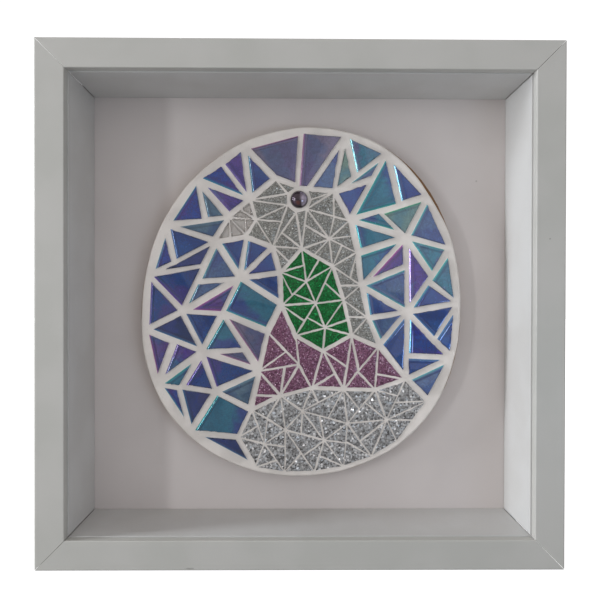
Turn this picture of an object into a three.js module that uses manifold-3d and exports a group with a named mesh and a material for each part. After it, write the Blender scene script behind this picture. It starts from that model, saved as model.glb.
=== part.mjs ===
// A bird mosaic on an oval board, hung inside a deep square box frame.
// Millimetres. X runs to the right, Y from the front face to the back and Z up. The origin is under the
// middle of the frame, on the surface that the frame stands on.
import * as THREE from "three";
import { mergeVertices } from "three/addons/utils/BufferGeometryUtils.js";
import Module from "manifold-3d";

const wasm = await Module();
wasm.setup();

// Driving dimensions

const frame = {
  side: 250,
  depth: 45,
  faceWidth: 14.2, // the white border seen from the front
  lipDepth: 4,
  wall: 8,
  outerRadius: 0.9,
  innerRadius: 0.5,
  mitreGap: 0.1,
};
const spacer = { innerInset: 14.8, mitreGap: 0.25 };
const recessDepth = 38; // from the front face to the backing board
const backing = { thickness: 1.5 };
const backPanel = { thickness: 2.5 };
const tab = { width: 15, length: 18, thickness: 0.5, inWall: 4.5, tipRadius: 3 };
const hanger = {
  width: 46,
  height: 9,
  plate: 0.7,
  standoff: 1,
  footWidth: 7,
  toothPitch: 3.2,
  toothDepth: 1.4,
  headRadius: 1.9,
  headHeight: 0.5,
  belowTop: 42,
};
const clearance = 0.2; // between the boards and the frame
const gap = 0.15; // between a tile and its grout
const seamTolerance = 0.01;

const mosaic = {
  centre: new THREE.Vector2(-0.2, 126),
  meanRadius: 88.5,
  lobes: [
    [1.4, -0.9],
    [-3.9, 1.4],
    [-0.6, -1],
    [-0.8, -0.3],
  ], // how far each harmonic pushes the hand-cut outline along cosine and sine
  outlinePoints: 72,
  boardThickness: 6,
  adhesive: 0.5,
  groutTop: 9.5,
  pictureTop: 9.75, // the glitter tiles are almost flush with the grout
  groundTop: 10.2,
  groutSetback: 0.5, // bare edge of the board around the grout
  bareEdge: { angle: 0.72, spread: 0.2, width: 1.1 }, // wider bare edge at the upper right
  rimWidth: 2.4, // grout between the outermost tiles and the bare edge
};
const eye = {
  centre: new THREE.Vector2(-0.5, 53.5),
  radius: 4.7,
  height: 3.4,
  ringTiles: 7, // corners of the tiles around the eye
  ringRadius: [6.3, 7.1],
};

const layout = {
  seed: 4,
  attempts: 9000,
  closest: [0.68, 1], // tile corners keep between these shares of the spacing from each other
  borderCloseness: 0.55, // the share on the border of an area
  rimCloseness: 0.8, // and on the rim of the oval
  largestThreeSided: 0.34, // as a share of its area's squared spacing; a larger cell is cut in two
  cutPlace: [0.35, 0.65], // where along its longest side
  narrowestJoint: 0.35, // as a share of the area's widest joint
  borderJoint: 0.5, // a joint between two areas is this much wider on each side
  shortestSide: 0.6,
  smallestTile: 5, // square millimetres; what is smaller stays grout
  flattestCorner: 0.12, // sine of the flattest corner of a four-sided tile
  largestQuad: 0.62, // area of a four-sided tile as a share of its area's squared spacing
};
const looseGroundTiles = 34; // the largest ground tiles are pieces of their own

// Colours

const colours = {
  frame: 0xecebe6,
  spacer: 0xe6e3de,
  backing: 0xe4e0dc,
  backPanel: 0x8a6a48,
  steel: 0xb9bbbe,
  board: 0x9a7a58,
  grout: 0xddd6cf,
  eye: 0x2c2430,
  beak: 0xcfc8c0,
  head: 0xa3a29c,
  neck: 0x0b6b30,
  breast: 0x71495f,
  body: 0xa9adb2,
};
const groundColours = [0x2f5a9c, 0x2f7fa0, 0x5c4a96, 0x1f4a9a, 0x7688a8, 0x8478a0, 0x5d8bb8, 0x3a3f8e];

// The five areas of the picture, front to back where they overlap. What they leave of the oval is ground.

const point = (x, y) => new THREE.Vector2(x, y);
const spline = (...pairs) => pairs.map(([x, y]) => point(x, y));

function neckOutline() {
  return new THREE.Path()
    .moveTo(1, 28)
    .splineThru(spline([14, 22.5], [22, 8], [23, -6], [27, -17]))
    .splineThru(spline([14, -25], [2, -22.5], [-7, -8], [-11, 7], [-8, 21], [1, 28]));
}

function bodyOutline() {
  return new THREE.Path()
    .moveTo(-25, -56)
    .splineThru(spline([-8, -48], [12, -44], [34, -46.5], [55, -40]))
    .splineThru(spline([65, -50], [76, -64]))
    .lineTo(40, -110)
    .lineTo(-44, -110)
    .lineTo(-35, -86)
    .splineThru(spline([-32, -71], [-25, -56]));
}

function breastOutline() {
  return new THREE.Path()
    .moveTo(-10.5, 4)
    .splineThru(spline([-16, -14], [-20.5, -33], [-25, -56]))
    .lineTo(20, -60)
    .lineTo(55, -40)
    .splineThru(spline([48, -30], [41, -23]))
    .lineTo(27, -17)
    .lineTo(-10.5, 4);
}

function beakOutline() {
  return new THREE.Path()
    .moveTo(-44, 32)
    .splineThru(spline([-37, 44], [-26, 53]))
    .lineTo(-23, 43)
    .lineTo(-28, 34.5)
    .splineThru(spline([-36, 34], [-44, 32]));
}

function headOutline() {
  return new THREE.Path()
    .moveTo(-28, 34.5)
    .lineTo(-26, 53)
    .splineThru(spline([-14, 63.5], [1, 67.5], [16, 59], [27, 39], [30.5, 18], [34, -4], [42, -23.5]))
    .lineTo(27, -17)
    .lineTo(-9, 15)
    .splineThru(spline([-15, 30], [-28, 34.5]));
}

// A joint here is the grout from the middle of the widest one to its side.
const areas = [
  { name: "neck", outline: neckOutline(), spacing: 17, joint: 0.7, quads: 0.3 },
  { name: "body", outline: bodyOutline(), spacing: 17, joint: 0.6, quads: 0.25 },
  { name: "breast", outline: breastOutline(), spacing: 19, joint: 0.85, quads: 0.3 },
  { name: "beak", outline: beakOutline(), spacing: 12.5, joint: 0.6, quads: 0.3 },
  { name: "head", outline: headOutline(), spacing: 16.5, joint: 0.65, quads: 0.25 },
];
const ground = { name: "ground", spacing: 29, joint: 1.9, quads: 0.3 };

// Plain geometry helpers

function slab(outline, bottom, top, holes = []) {
  const shape = new THREE.Shape(outline);
  shape.holes = holes.map((hole) => new THREE.Path(hole));
  return new THREE.ExtrudeGeometry(shape, { depth: top - bottom, bevelEnabled: false }).translate(0, 0, bottom);
}

function rectangle(left, right, low, high) {
  return [point(left, low), point(right, low), point(right, high), point(left, high)];
}

function toSolid(geometry) {
  const bare = geometry.clone();
  bare.deleteAttribute("normal");
  bare.deleteAttribute("uv");
  const merged = mergeVertices(bare);
  const vertProperties = merged.attributes.position.array;
  const triVerts = new Uint32Array(merged.index.array);
  return new wasm.Manifold(new wasm.Mesh({ numProp: 3, vertProperties, triVerts }));
}

function toGeometry(solid) {
  const { vertProperties, triVerts } = solid.getMesh();
  const geometry = new THREE.BufferGeometry();
  geometry.setAttribute("position", new THREE.BufferAttribute(vertProperties, 3));
  geometry.setIndex(new THREE.BufferAttribute(triVerts, 1));
  geometry.computeVertexNormals();
  return geometry;
}

// Joins closed pieces, and clears the flat seams that they leave in one face
function joined(geometries) {
  const whole = geometries.map(toSolid).reduce((sum, next) => sum.add(next));
  return toGeometry(whole.asOriginal().simplify(seamTolerance));
}

function cut(geometry, tools) {
  return toGeometry(tools.map(toSolid).reduce((left, next) => left.subtract(next), toSolid(geometry)));
}

function piece(name, geometry, color, roughness, metalness = 0) {
  const mesh = new THREE.Mesh(geometry, new THREE.MeshStandardMaterial({ color, roughness, metalness }));
  mesh.name = name;
  return mesh;
}

// The same numbers between 0 and 1 on every run
function randomStream(seed) {
  const multiplier = 48271;
  const modulus = 2147483647;
  let state = seed;
  return () => {
    state = (state * multiplier) % modulus;
    return state / modulus;
  };
}
const random = randomStream(layout.seed);

// Frame: four rails and four spacer strips, mitred at 45 degrees

// A section is drawn with x as the distance in from the outer edge and y as the depth behind the front face.
function railSection() {
  const { outerRadius, innerRadius, faceWidth, lipDepth, wall, depth } = frame;
  const shape = new THREE.Shape();
  shape.moveTo(0, outerRadius);
  shape.absarc(outerRadius, outerRadius, outerRadius, Math.PI, 1.5 * Math.PI, false);
  shape.lineTo(faceWidth - innerRadius, 0);
  shape.absarc(faceWidth - innerRadius, innerRadius, innerRadius, 1.5 * Math.PI, 2 * Math.PI, false);
  shape.lineTo(faceWidth, lipDepth);
  shape.lineTo(wall, lipDepth);
  shape.lineTo(wall, depth);
  shape.lineTo(0, depth);
  return shape;
}

function spacerSection() {
  const outer = frame.wall + clearance;
  return new THREE.Shape(
    rectangle(outer, spacer.innerInset, frame.lipDepth + clearance, recessDepth - clearance),
  );
}

// The top member of the square, about the middle of the frame: the ends of the bar slope at 45 degrees
// because each end lies as far from the corner as the point lies in from the edge.
function mitredBar(section, mitreGap) {
  const bar = new THREE.ExtrudeGeometry(section, { depth: 1, bevelEnabled: false, curveSegments: 3 });
  const position = bar.attributes.position;
  for (let i = 0; i < position.count; i += 1) {
    const inset = position.getX(i);
    const end = position.getZ(i) > 0.5 ? 1 : -1;
    const halfLength = frame.side / 2 - inset - mitreGap;
    position.setXYZ(i, end * halfLength, position.getY(i) - frame.depth / 2, frame.side / 2 - inset);
  }
  return bar;
}

function tabSlot() {
  const thickness = tab.thickness + 2 * gap;
  const reach = tab.inWall + gap;
  const slot = new THREE.BoxGeometry(tab.width + 2 * gap, thickness, 2 * reach);
  return slot.translate(0, tabDepth() + tab.thickness / 2 - frame.depth / 2, frame.side / 2 - frame.wall);
}

const sides = ["top", "right", "bottom", "left"];

function frameRails() {
  const rail = cut(mitredBar(railSection(), frame.mitreGap), [tabSlot()]);
  return sides.map((side, quarter) => {
    const mesh = piece(`frame_rail_${side}`, rail.clone(), colours.frame, 0.45);
    mesh.rotation.y = (quarter * Math.PI) / 2;
    return mesh;
  });
}

function spacerStrips() {
  const strip = mitredBar(spacerSection(), spacer.mitreGap);
  return sides.map((side, quarter) => {
    const mesh = piece(`spacer_${side}`, strip.clone(), colours.spacer, 0.55);
    mesh.rotation.y = (quarter * Math.PI) / 2;
    return mesh;
  });
}

// Boards behind the mosaic, and what holds them in the frame

function backPanelDepth() {
  return recessDepth + backing.thickness + clearance;
}

function tabDepth() {
  return backPanelDepth() + backPanel.thickness + gap;
}

function squareBoard(name, depthFromFront, thickness, color, roughness) {
  const side = frame.side - 2 * (frame.wall + clearance);
  const mesh = piece(name, new THREE.BoxGeometry(side, thickness, side), color, roughness);
  mesh.position.y = depthFromFront + thickness / 2 - frame.depth / 2;
  return mesh;
}

// Soft metal points, pushed into the walls of the rails and lying on the back panel
function panelTabs() {
  const half = tab.width / 2;
  const outline = new THREE.Shape();
  outline.moveTo(-half, tab.inWall);
  outline.lineTo(-half, tab.inWall - tab.length + tab.tipRadius);
  outline.lineTo(-half + tab.tipRadius, tab.inWall - tab.length);
  outline.lineTo(half - tab.tipRadius, tab.inWall - tab.length);
  outline.lineTo(half, tab.inWall - tab.length + tab.tipRadius);
  outline.lineTo(half, tab.inWall);
  const flat = new THREE.ExtrudeGeometry(outline, { depth: tab.thickness, bevelEnabled: false })
    .rotateX(Math.PI / 2)
    .translate(0, tabDepth() + tab.thickness - frame.depth / 2, frame.side / 2 - frame.wall);
  return sides.map((side, quarter) => {
    const mesh = piece(`panel_tab_${side}`, flat.clone(), colours.steel, 0.35, 1);
    mesh.rotation.y = (quarter * Math.PI) / 2;
    return mesh;
  });
}

// A sawtooth hanger: a toothed plate that stands off the panel on two nailed feet
function sawtoothHanger() {
  const { width, height, plate, standoff, footWidth, toothPitch, toothDepth, headRadius, headHeight } = hanger;
  const half = width / 2;
  const teeth = Math.floor((width - 2 * footWidth) / toothPitch);
  const outline = [point(-half, 0), point((-teeth * toothPitch) / 2, 0)];
  for (let tooth = 0; tooth < teeth; tooth += 1) {
    const left = (tooth - teeth / 2) * toothPitch;
    outline.push(point(left + toothPitch / 2, toothDepth), point(left + toothPitch, 0));
  }
  outline.push(point(half, 0), point(half, height), point(-half, height));
  const parts = [slab(outline, standoff, standoff + plate)];
  [-1, 1].forEach((end) => {
    const middle = end * (half - footWidth / 2);
    const foot = rectangle(middle - footWidth / 2, middle + footWidth / 2, 0, height);
    const head = new THREE.CylinderGeometry(headRadius, headRadius, headHeight + plate / 2, 16)
      .rotateX(Math.PI / 2)
      .translate(middle, height / 2, standoff + 0.75 * plate + headHeight / 2);
    parts.push(slab(foot, 0, standoff + plate / 2), head);
  });
  const mesh = piece("sawtooth_hanger", joined(parts), colours.steel, 0.35, 1);
  mesh.rotation.set(Math.PI / 2, 0, Math.PI, "ZYX"); // the plate faces the back
  mesh.position.set(0, tabDepth() - frame.depth / 2, frame.side / 2 - hanger.belowTop);
  return mesh;
}

// The oval: a circle pushed in and out by a few harmonics, as a jigsaw by hand leaves it

function boardRadius(angle) {
  return mosaic.lobes.reduce((radius, [alongCosine, alongSine], index) => {
    const turns = index + 1;
    return radius + alongCosine * Math.cos(turns * angle) + alongSine * Math.sin(turns * angle);
  }, mosaic.meanRadius);
}

function bareEdgeWidth(angle) {
  const { angle: middle, spread, width } = mosaic.bareEdge;
  return mosaic.groutSetback + width * Math.exp(-(((angle - middle) / spread) ** 2));
}

function oval(inset) {
  const points = [];
  for (let i = 0; i < mosaic.outlinePoints; i += 1) {
    const angle = (2 * Math.PI * i) / mosaic.outlinePoints;
    const radius = boardRadius(angle) - inset(angle);
    points.push(point(radius * Math.cos(angle), radius * Math.sin(angle)));
  }
  return points;
}
const tileOval = oval((angle) => bareEdgeWidth(angle) + mosaic.rimWidth);

// Cells: corner points spread over the oval, joined into triangles and then partly into four-sided cells

function isInside(outline, place) {
  let inside = false;
  outline.forEach((a, i) => {
    const b = outline[(i + 1) % outline.length];
    const crosses = a.y > place.y !== b.y > place.y;
    if (crosses && place.x < a.x + ((place.y - a.y) * (b.x - a.x)) / (b.y - a.y)) inside = !inside;
  });
  return inside;
}

areas.forEach((area) => {
  area.loop = area.outline.getPoints(8);
});

function areaAt(place) {
  return areas.find((area) => isInside(area.loop, place)) ?? ground;
}

// Adds a corner unless another one lies too near
function addCorner(corners, place, nearest) {
  if (corners.every((corner) => corner.distanceTo(place) >= nearest)) corners.push(place);
}

function tileCorners() {
  const corners = [];
  for (let i = 0; i < eye.ringTiles; i += 1) {
    const angle = (2 * Math.PI * i) / eye.ringTiles;
    const radius = THREE.MathUtils.lerp(...eye.ringRadius, random());
    corners.push(point(Math.cos(angle), Math.sin(angle)).multiplyScalar(radius).add(eye.centre));
  }
  areas.forEach((area, rank) => {
    const inFront = areas.slice(0, rank);
    area.outline.curves.forEach((curve) => {
      curve.getSpacedPoints(Math.max(1, Math.round(curve.getLength() / area.spacing))).forEach((place) => {
        const hidden = inFront.some((other) => isInside(other.loop, place));
        const nearest = layout.borderCloseness * area.spacing;
        if (!hidden && isInside(tileOval, place)) addCorner(corners, place, nearest);
      });
    });
  });
  tileOval.forEach((place) => {
    const justInside = place.clone().multiplyScalar(0.97);
    addCorner(corners, place, layout.rimCloseness * areaAt(justInside).spacing);
  });
  const reach = 1.1 * mosaic.meanRadius;
  for (let i = 0; i < layout.attempts; i += 1) {
    const place = point(2 * random() - 1, 2 * random() - 1).multiplyScalar(reach);
    const share = THREE.MathUtils.lerp(...layout.closest, random());
    if (isInside(tileOval, place)) addCorner(corners, place, share * areaAt(place).spacing);
  }
  return corners;
}

// Positive where the place lies inside the circle through three points that turn anticlockwise
function inCircle([a, b, c], place) {
  const rows = [a, b, c].map((corner) => {
    const away = corner.clone().sub(place);
    return [away.x, away.y, away.lengthSq()];
  });
  return new THREE.Matrix3().set(...rows.flat()).determinant();
}

// Delaunay triangles: each new point takes over every triangle whose circle holds it
function triangulate(corners) {
  const far = 100 * mosaic.meanRadius;
  const all = [...corners, point(-far, -far), point(far, -far), point(0, far)];
  let triangles = [[0, 1, 2].map((i) => corners.length + i)];
  corners.forEach((corner, index) => {
    const taken = triangles.filter((triangle) => inCircle(triangle.map((i) => all[i]), corner) > 0);
    const edges = taken.flatMap(([a, b, c]) => [[a, b], [b, c], [c, a]]);
    const rim = edges.filter(([a, b]) => !edges.some(([c, d]) => c === b && d === a));
    triangles = triangles.filter((triangle) => !taken.includes(triangle));
    triangles.push(...rim.map(([a, b]) => [a, b, index]));
  });
  return triangles.filter((triangle) => triangle.every((i) => i < corners.length));
}

function middleOf(loop) {
  return loop.reduce((sum, corner) => sum.add(corner), point(0, 0)).divideScalar(loop.length);
}

function isConvex(loop) {
  return loop.every((corner, i) => {
    const next = loop[(i + 1) % loop.length].clone().sub(corner);
    const afterNext = loop[(i + 2) % loop.length].clone().sub(corner);
    return next.cross(afterNext) > layout.flattestCorner * next.length() * afterNext.length();
  });
}

// The loop round two triangles that share a side, or nothing
function roundBoth(first, second) {
  const apart = second.find((i) => !first.includes(i));
  const shared = first.filter((i) => second.includes(i));
  if (shared.length !== 2) return undefined;
  const alone = first.findIndex((i) => !second.includes(i));
  const [a, b, c] = [0, 1, 2].map((step) => first[(alone + step) % 3]);
  return [a, b, apart, c];
}

function tileCells() {
  const corners = tileCorners();
  const cells = triangulate(corners)
    .filter((triangle) => !triangle.every((i) => i < eye.ringTiles))
    .map((indices) => ({ indices, area: areaAt(middleOf(indices.map((i) => corners[i]))) }))
    .filter((cell) => isInside(tileOval, middleOf(cell.indices.map((i) => corners[i]))));
  const kept = [];
  while (cells.length) {
    const cell = cells.shift();
    const wantsMore = random() < cell.area.quads;
    const partner = cells.findIndex((other) => {
      const indices = wantsMore && other.area === cell.area && roundBoth(cell.indices, other.indices);
      const loop = indices && indices.map((i) => corners[i]);
      const largest = layout.largestQuad * cell.area.spacing ** 2;
      return loop && isConvex(loop) && THREE.ShapeUtils.area(loop) < largest;
    });
    if (partner >= 0) cell.indices = roundBoth(cell.indices, cells.splice(partner, 1)[0].indices);
    kept.push(cell);
  }
  kept.forEach((cell) => {
    cell.loop = cell.indices.map((i) => corners[i]);
    cell.across = cell.indices.map((from, i) => {
      const to = cell.indices[(i + 1) % cell.indices.length];
      const neighbour = kept.find(({ indices }) => {
        const place = indices.indexOf(to);
        return place >= 0 && indices[(place + 1) % indices.length] === from;
      });
      return neighbour?.area;
    });
  });
  return kept;
}

// What is left of a convex loop when each side moves in, by one distance at its start and one at its end
function shrink(loop, distances) {
  return loop.reduce((left, from, i) => {
    const to = loop[(i + 1) % loop.length];
    const inward = point(from.y - to.y, to.x - from.x).normalize();
    const start = from.clone().addScaledVector(inward, distances[i][0]);
    const end = to.clone().addScaledVector(inward, distances[i][1]);
    const side = end.sub(start);
    const height = (place) => side.cross(place.clone().sub(start));
    return left.flatMap((place, k) => {
      const next = left[(k + 1) % left.length];
      const [here, there] = [height(place), height(next)];
      const kept = here >= 0 ? [place] : [];
      if (here >= 0 !== there >= 0) kept.push(place.clone().lerp(next, here / (here - there)));
      return kept;
    });
  }, loop);
}

function jointHalves(cell) {
  return cell.across.map((area) => {
    const border = area && area !== cell.area ? layout.borderJoint : 0;
    return [0, 1].map(() => {
      const share = THREE.MathUtils.lerp(layout.narrowestJoint, 1, random());
      return border + share * cell.area.joint;
    });
  });
}

const evenly = (loop, distance) => loop.map(() => [distance, distance]);

// A large three-sided cell is cut in two from a corner, so that this joint ends on another one
function halves(cell) {
  const largest = layout.largestThreeSided * cell.area.spacing ** 2;
  if (cell.loop.length > 3 || THREE.ShapeUtils.area(cell.loop) < largest) return [cell];
  const length = (i) => cell.loop[i].distanceTo(cell.loop[(i + 1) % 3]);
  const longest = [0, 1, 2].reduce((best, i) => (length(i) > length(best) ? i : best));
  const [from, to, apex] = [0, 1, 2].map((step) => cell.loop[(longest + step) % 3]);
  const [far, right, left] = [0, 1, 2].map((step) => cell.across[(longest + step) % 3]);
  const middle = from.clone().lerp(to, THREE.MathUtils.lerp(...layout.cutPlace, random()));
  return [
    { ...cell, loop: [from, middle, apex], across: [far, cell.area, left] },
    { ...cell, loop: [middle, to, apex], across: [far, right, cell.area] },
  ];
}

// Each tile keeps its pocket in the grout, which is a little larger all round
function cutTiles(cells) {
  return cells.flatMap(halves).flatMap((cell) => {
    const pocket = shrink(cell.loop, jointHalves(cell)).filter((place, i, all) => {
      return place.distanceTo(all[(i + 1) % all.length]) > layout.shortestSide;
    });
    const outline = pocket.length > 2 ? shrink(pocket, evenly(pocket, gap)) : [];
    const size = outline.length > 2 ? THREE.ShapeUtils.area(outline) : 0;
    return size > layout.smallestTile ? [{ cell, pocket, outline, size }] : [];
  });
}

// Mosaic pieces. They are drawn as seen from the front, with z towards the viewer and 0 on the backing.

const boardTop = gap + mosaic.boardThickness;
const adhesiveBottom = boardTop + gap;
const adhesiveTop = adhesiveBottom + mosaic.adhesive;

function ovalBoard() {
  return piece("oval_board", slab(oval(() => 0), gap, boardTop), colours.board, 0.8);
}

// One slab with a pocket for each tile, and a rim that reaches down to the board outside the adhesive
function groutBed(tiles) {
  const outer = oval(bareEdgeWidth);
  const eyeHole = new THREE.Path().absarc(eye.centre.x, eye.centre.y, eye.radius + 2 * gap, 0, 2 * Math.PI);
  const holes = [...tiles.map((tile) => tile.pocket), eyeHole.getPoints(5)];
  const rimHole = oval((angle) => bareEdgeWidth(angle) + mosaic.rimWidth - gap);
  const face = slab(outer, adhesiveTop + gap, mosaic.groutTop, holes);
  const rim = slab(outer, adhesiveBottom, adhesiveTop + 2 * gap, [rimHole]);
  return piece("grout", joined([face, rim]), colours.grout, 0.9);
}

// The loops round the cells of one area, the largest first: its outline, then any opening in it
function loopsRound(cells) {
  const sides = new Map();
  cells.forEach((cell) => {
    cell.indices.forEach((from, i) => {
      const next = (i + 1) % cell.indices.length;
      if (cell.across[i] !== cell.area) sides.set(from, { place: cell.loop[i], to: cell.indices[next] });
    });
  });
  const loops = [];
  while (sides.size) {
    const loop = [];
    let [at] = sides.keys();
    while (sides.has(at)) {
      const { place, to } = sides.get(at);
      sides.delete(at);
      loop.push(place);
      at = to;
    }
    loops.push(loop);
  }
  return loops.sort((a, b) => THREE.ShapeUtils.area(b) - THREE.ShapeUtils.area(a));
}

// Moves every corner of a loop to its left, so that its sides stand off by the same distance
function standOff(loop, distance) {
  return loop.map((corner, i) => {
    const before = loop[(i + loop.length - 1) % loop.length];
    const after = loop[(i + 1) % loop.length];
    const first = point(before.y - corner.y, corner.x - before.x).normalize();
    const second = point(corner.y - after.y, after.x - corner.x).normalize();
    const reach = distance / (1 + first.dot(second));
    return corner.clone().addScaledVector(first.add(second), reach);
  });
}

// The tiles of one area, standing on their bed of adhesive
function tilesOnBed(name, cells, tiles, top, color, roughness) {
  const [outline, ...openings] = loopsRound(cells).map((loop) => standOff(loop, gap));
  const bed = slab(outline, adhesiveBottom, adhesiveTop, openings);
  const prisms = tiles.map((tile) => slab(tile.outline, adhesiveTop - gap, top));
  return piece(name, joined([bed, ...prisms]), color, roughness);
}

function looseTile(tile, index) {
  const name = `ground_tile_${String(index + 1).padStart(2, "0")}`;
  const prism = slab(tile.outline, adhesiveTop + gap, mosaic.groundTop);
  return piece(name, prism, groundColours[index % groundColours.length], 0.12);
}

// The eye: a flat-backed glass dome
function glassEye() {
  const foot = adhesiveTop + gap;
  const top = mosaic.pictureTop + eye.height;
  const wallTop = mosaic.groutTop - gap;
  const profile = [point(0, foot), point(eye.radius, foot), point(eye.radius, wallTop)];
  const steps = 5;
  for (let i = 1; i <= steps; i += 1) {
    const angle = (i / steps) * (Math.PI / 2);
    const height = wallTop + (top - wallTop) * Math.sin(angle);
    profile.push(point(i === steps ? 0 : eye.radius * Math.cos(angle), height));
  }
  const dome = new THREE.LatheGeometry(profile, 20).rotateX(Math.PI / 2);
  return piece("eye", dome.translate(eye.centre.x, eye.centre.y, 0), colours.eye, 0.05);
}

function mosaicPanel() {
  const cells = tileCells();
  const tiles = cutTiles(cells);
  const group = new THREE.Group();
  group.add(ovalBoard(), groutBed(tiles), glassEye());
  areas.forEach((area) => {
    const own = tiles.filter((tile) => tile.cell.area === area);
    const bed = cells.filter((cell) => cell.area === area);
    const roughness = area.name === "beak" ? 0.15 : 0.4;
    group.add(tilesOnBed(`${area.name}_tiles`, bed, own, mosaic.pictureTop, colours[area.name], roughness));
  });
  const groundTiles = tiles.filter((tile) => tile.cell.area === ground).sort((a, b) => b.size - a.size);
  const bed = cells.filter((cell) => cell.area === ground);
  const small = groundTiles.slice(looseGroundTiles);
  group.add(tilesOnBed("ground_small_tiles", bed, small, mosaic.groundTop, groundColours[0], 0.12));
  groundTiles.slice(0, looseGroundTiles).forEach((tile, index) => group.add(looseTile(tile, index)));
  group.rotation.x = Math.PI / 2;
  group.position.set(mosaic.centre.x, recessDepth - frame.depth / 2, mosaic.centre.y - frame.side / 2);
  return group;
}

const standing = new THREE.Group(); // everything is built about the middle of the frame, then stood on Z = 0
standing.add(
  ...frameRails(),
  ...spacerStrips(),
  squareBoard("backing_board", recessDepth, backing.thickness, colours.backing, 0.8),
  squareBoard("back_panel", backPanelDepth(), backPanel.thickness, colours.backPanel, 0.75),
  ...panelTabs(),
  sawtoothHanger(),
  mosaicPanel(),
);
standing.position.z = frame.side / 2;

const panel = new THREE.Group();
panel.add(standing);

export default panel;
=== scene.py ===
import math
import random

import bmesh
import bpy
import numpy as np
from mathutils import Matrix, Vector


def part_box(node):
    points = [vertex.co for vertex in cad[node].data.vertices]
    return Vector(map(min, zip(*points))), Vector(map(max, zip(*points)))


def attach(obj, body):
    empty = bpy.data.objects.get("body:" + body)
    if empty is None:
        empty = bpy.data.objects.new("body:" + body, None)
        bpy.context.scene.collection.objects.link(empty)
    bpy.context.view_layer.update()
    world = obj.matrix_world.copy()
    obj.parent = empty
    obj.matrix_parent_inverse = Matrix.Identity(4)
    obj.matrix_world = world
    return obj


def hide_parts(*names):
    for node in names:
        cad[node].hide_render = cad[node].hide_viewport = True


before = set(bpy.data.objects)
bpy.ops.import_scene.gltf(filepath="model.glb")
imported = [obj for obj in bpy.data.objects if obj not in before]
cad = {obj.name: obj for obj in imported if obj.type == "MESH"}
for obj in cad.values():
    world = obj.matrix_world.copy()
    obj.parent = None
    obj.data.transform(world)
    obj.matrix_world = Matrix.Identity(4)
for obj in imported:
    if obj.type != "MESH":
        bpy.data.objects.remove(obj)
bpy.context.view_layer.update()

scene = bpy.context.scene
mm = 0.001  # sizes and places in the dictionaries are in millimetres, where nothing else is said
tiny = 0.001 * mm  # a point this close to a line or a face counts as on it
panelMiddle = Vector((0, 0, 125 * mm))


# Small helpers for selecting and editing

def only(piece):
    bpy.ops.object.select_all(action="DESELECT")
    piece.select_set(True)
    bpy.context.view_layer.objects.active = piece


def openMesh(piece, kind="FACE"):
    only(piece)
    bpy.ops.object.mode_set(mode="EDIT")
    bpy.ops.mesh.select_mode(type=kind)


def closeMesh():
    bpy.ops.object.mode_set(mode="OBJECT")


def pick(piece, kind, test):  # kind is EDGE or FACE
    bpy.ops.mesh.select_mode(type=kind)
    bpy.ops.mesh.select_all(action="DESELECT")
    mesh = bmesh.from_edit_mesh(piece.data)
    for part in mesh.edges if kind == "EDGE" else mesh.faces:
        if test(part):
            part.select_set(True)
    mesh.select_flush_mode()
    bmesh.update_edit_mesh(piece.data)


def placesOf(piece):
    places = np.empty(len(piece.data.vertices) * 3)
    piece.data.vertices.foreach_get("co", places)
    return places.reshape(-1, 3)


def setPlaces(piece, places):
    piece.data.vertices.foreach_set("co", np.asarray(places, float).ravel())
    piece.data.update()


def keepPrimitive(name):  # the primitive that was just added, with its place in its mesh
    piece = bpy.context.object
    piece.name = piece.data.name = name
    bpy.ops.object.transform_apply(location=True, rotation=True, scale=True)
    return piece


def smoothBy(piece, degrees):
    only(piece)
    bpy.ops.object.shade_smooth_by_angle(angle=math.radians(degrees))


def finishPiece(piece, nodeName):  # the piece stands for a node of the frame
    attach(piece, "root")
    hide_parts(nodeName)


# Small helpers for materials

wideNoise, mostNoise, midNoise = (0.2, 0.8), (0.3, 0.7), (0.35, 0.65)  # the range that is used
black, white = (0, 0, 0, 1), (1, 1, 1, 1)


def paint(red, green, blue):  # a screen colour from 0 to 255 as Blender's linear one
    linear = [((c / 255 + 0.055) / 1.055) ** 2.4 if c > 10 else c / 255 / 12.92
              for c in (red, green, blue)]
    return (*linear, 1)


def addNode(tree, kind, **settings):
    node = tree.nodes.new(kind)
    for key, value in settings.items():
        setattr(node, key, value)
    return node


def feed(tree, socket, value):  # an output is linked, and anything else is set
    if isinstance(value, bpy.types.NodeSocket):
        tree.links.new(value, socket)
    else:
        socket.default_value = value


def feedNode(tree, node, **values):
    for key, value in values.items():
        feed(tree, node.inputs[key], value)
    return node.outputs


def maths(tree, operation, first, second=0.0):
    node = addNode(tree, "ShaderNodeMath", operation=operation)
    feed(tree, node.inputs[0], first)
    feed(tree, node.inputs[1], second)
    return node.outputs[0]


def vectorMaths(tree, operation, first, second=(0, 0, 0)):
    node = addNode(tree, "ShaderNodeVectorMath", operation=operation)
    feed(tree, node.inputs[0], first)
    feed(tree, node.inputs["Scale" if operation == "SCALE" else 1], second)
    return node.outputs["Value" if operation == "LENGTH" else "Vector"]


def split(tree, value, kind="XYZ"):  # the three parts of a place or a colour
    node = addNode(tree, "ShaderNodeSeparate" + kind)
    feed(tree, node.inputs[0], value)
    return node.outputs


def blendColours(tree, factor, first, second):
    node = addNode(tree, "ShaderNodeMix", data_type="RGBA")
    feed(tree, node.inputs[0], factor)
    feed(tree, node.inputs[6], first)
    feed(tree, node.inputs[7], second)
    return node.outputs[2]


def remap(tree, value, low, high, lowest=0.0, highest=1.0, way="SMOOTHSTEP"):
    node = addNode(tree, "ShaderNodeMapRange", interpolation_type=way)
    for key, number in enumerate((value, low, high, lowest, highest)):
        feed(tree, node.inputs[key], number)
    return node.outputs[0]


def noise(tree, where, scale, detail=2.0, distortion=0.0, rough=0.5):
    node = addNode(tree, "ShaderNodeTexNoise")
    return feedNode(tree, node, Vector=where, Scale=scale, Detail=detail, Roughness=rough,
                    Distortion=distortion)["Fac"]


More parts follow.
